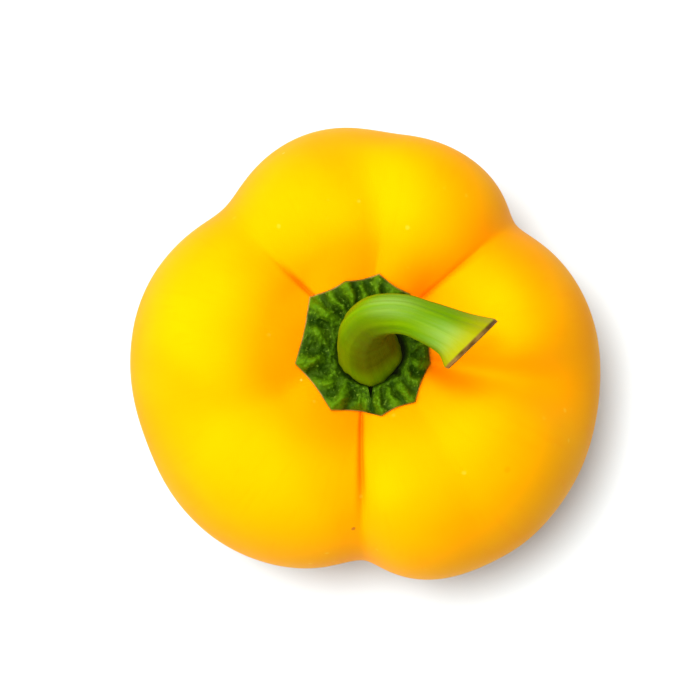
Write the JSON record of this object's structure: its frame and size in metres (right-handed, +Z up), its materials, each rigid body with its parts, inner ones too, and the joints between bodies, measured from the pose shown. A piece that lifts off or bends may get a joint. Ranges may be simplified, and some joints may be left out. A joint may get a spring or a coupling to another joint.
{
  "type": "bell pepper",
  "caption": "Blocky yellow bell pepper standing on its blossom end, with its green calyx and a curved, obliquely cut stem.",
  "frame": {"origin": "on the surface that the pepper stands on, under the middle of its outline seen from above", "axes": "+Z up, from the blossom end to the stem end; +X along the way that the stem's cut end points, seen from above"},
  "size_m": [0.0906, 0.087, 0.0987],
  "materials": {
    "skin": "glossy",
    "calyx": "satin",
    "stem": "satin"
  },
  "bodies": {
    "root": {"fruit": "skin", "calyx": "calyx", "stem": "stem"}
  },
  "joints": []
}
